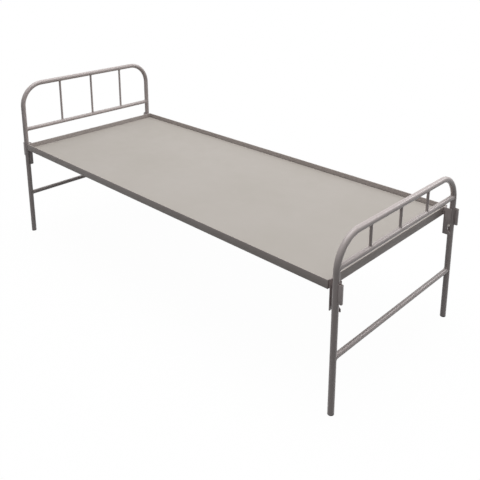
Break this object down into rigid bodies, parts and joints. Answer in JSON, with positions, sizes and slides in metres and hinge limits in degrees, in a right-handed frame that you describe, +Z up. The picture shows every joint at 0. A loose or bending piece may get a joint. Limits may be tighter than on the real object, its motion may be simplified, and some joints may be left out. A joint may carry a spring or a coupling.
{
  "type": "bed",
  "caption": "Knock-down ward bed: bent-tube head and foot bows with uprights, hooked to a welded steel-angle frame that carries a sheet deck with a raised rim.",
  "frame": {"origin": "on the floor, under the middle of the bed's bounding box", "axes": "+Z up; X along the length with the head at -X and the foot at +X; Y across, and the bed is the same on both sides but for the uprights, which stand 16 mm to the left seen from outside each end"},
  "size_m": [2.186, 0.8794, 0.8787],
  "materials": {
    "frame_paint": "satin warm grey enamel on welded steel",
    "deck_paint": "light warm grey enamel on sheet steel, slightly dulled by use",
    "plug_plastic": "matte dark plastic end plug",
    "stud_zinc": "dull zinc plating"
  },
  "bodies": {
    "root": {"deck_crossbar_1": "deck_paint", "deck_crossbar_2": "deck_paint", "deck_crossbar_3": "deck_paint", "deck_crossbar_4": "deck_paint", "deck_panel": "deck_paint", "end_rail_foot": "frame_paint", "end_rail_head": "frame_paint", "foot_bow_tube": "frame_paint", "foot_far_hook_bracket": "frame_paint", "foot_far_hook_stud": "stud_zinc", "foot_far_rod_socket": "frame_paint", "foot_mid_bar": "frame_paint", "foot_near_hook_bracket": "frame_paint", "foot_near_hook_stud": "stud_zinc", "foot_near_rod_socket": "frame_paint", "foot_plug_far": "plug_plastic", "foot_plug_near": "plug_plastic", "foot_stretcher": "frame_paint", "foot_upright_1": "frame_paint", "foot_upright_2": "frame_paint", "foot_upright_3": "frame_paint", "head_bow_tube": "frame_paint", "head_far_hook_bracket": "frame_paint", "head_far_hook_stud": "stud_zinc", "head_far_rod_socket": "frame_paint", "head_mid_bar": "frame_paint", "head_near_hook_bracket": "frame_paint", "head_near_hook_stud": "stud_zinc", "head_near_rod_socket": "frame_paint", "head_plug_far": "plug_plastic", "head_plug_near": "plug_plastic", "head_stretcher": "frame_paint", "head_upright_1": "frame_paint", "head_upright_2": "frame_paint", "head_upright_3": "frame_paint", "side_rail_far": "frame_paint", "side_rail_near": "frame_paint"}
  },
  "joints": []
}
